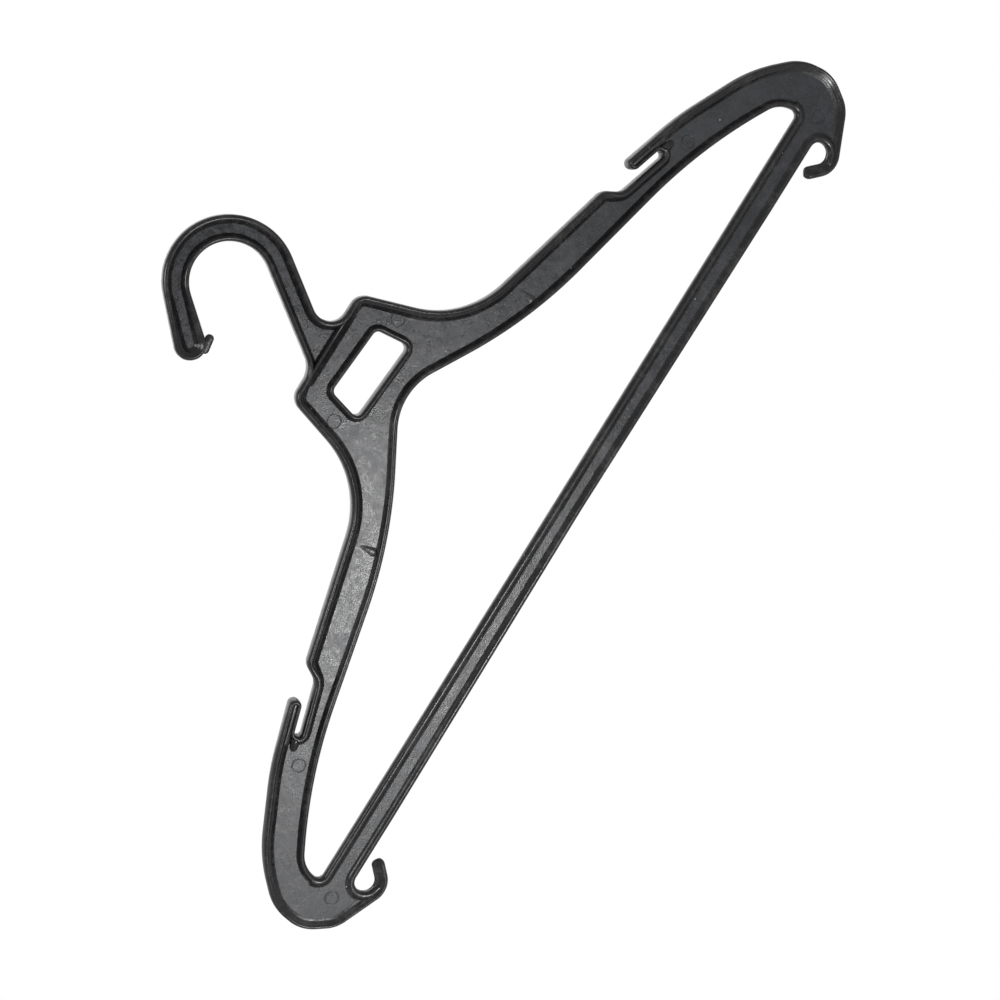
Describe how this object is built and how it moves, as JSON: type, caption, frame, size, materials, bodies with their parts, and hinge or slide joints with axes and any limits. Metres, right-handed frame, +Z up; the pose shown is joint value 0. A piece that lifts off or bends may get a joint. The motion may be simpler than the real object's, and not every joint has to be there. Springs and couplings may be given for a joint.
{
  "type": "clothes hanger",
  "caption": "One-piece moulded plastic clothes hanger with an open hook, strap notches, a trouser bar and small loops under its ends.",
  "frame": {"origin": "centre of the arc inside the hook that rests on a rail, in the middle of the thickness", "axes": "+Z up as the hanger hangs, +X along the shoulders to the viewer's right, +Y to the back (the front face looks along -Y)"},
  "size_m": [0.4202, 0.008, 0.2166],
  "materials": {
    "plastic": "black polypropylene, satin rims, fine-grained matte web"
  },
  "bodies": {
    "root": {"hanger": "plastic"}
  },
  "joints": []
}
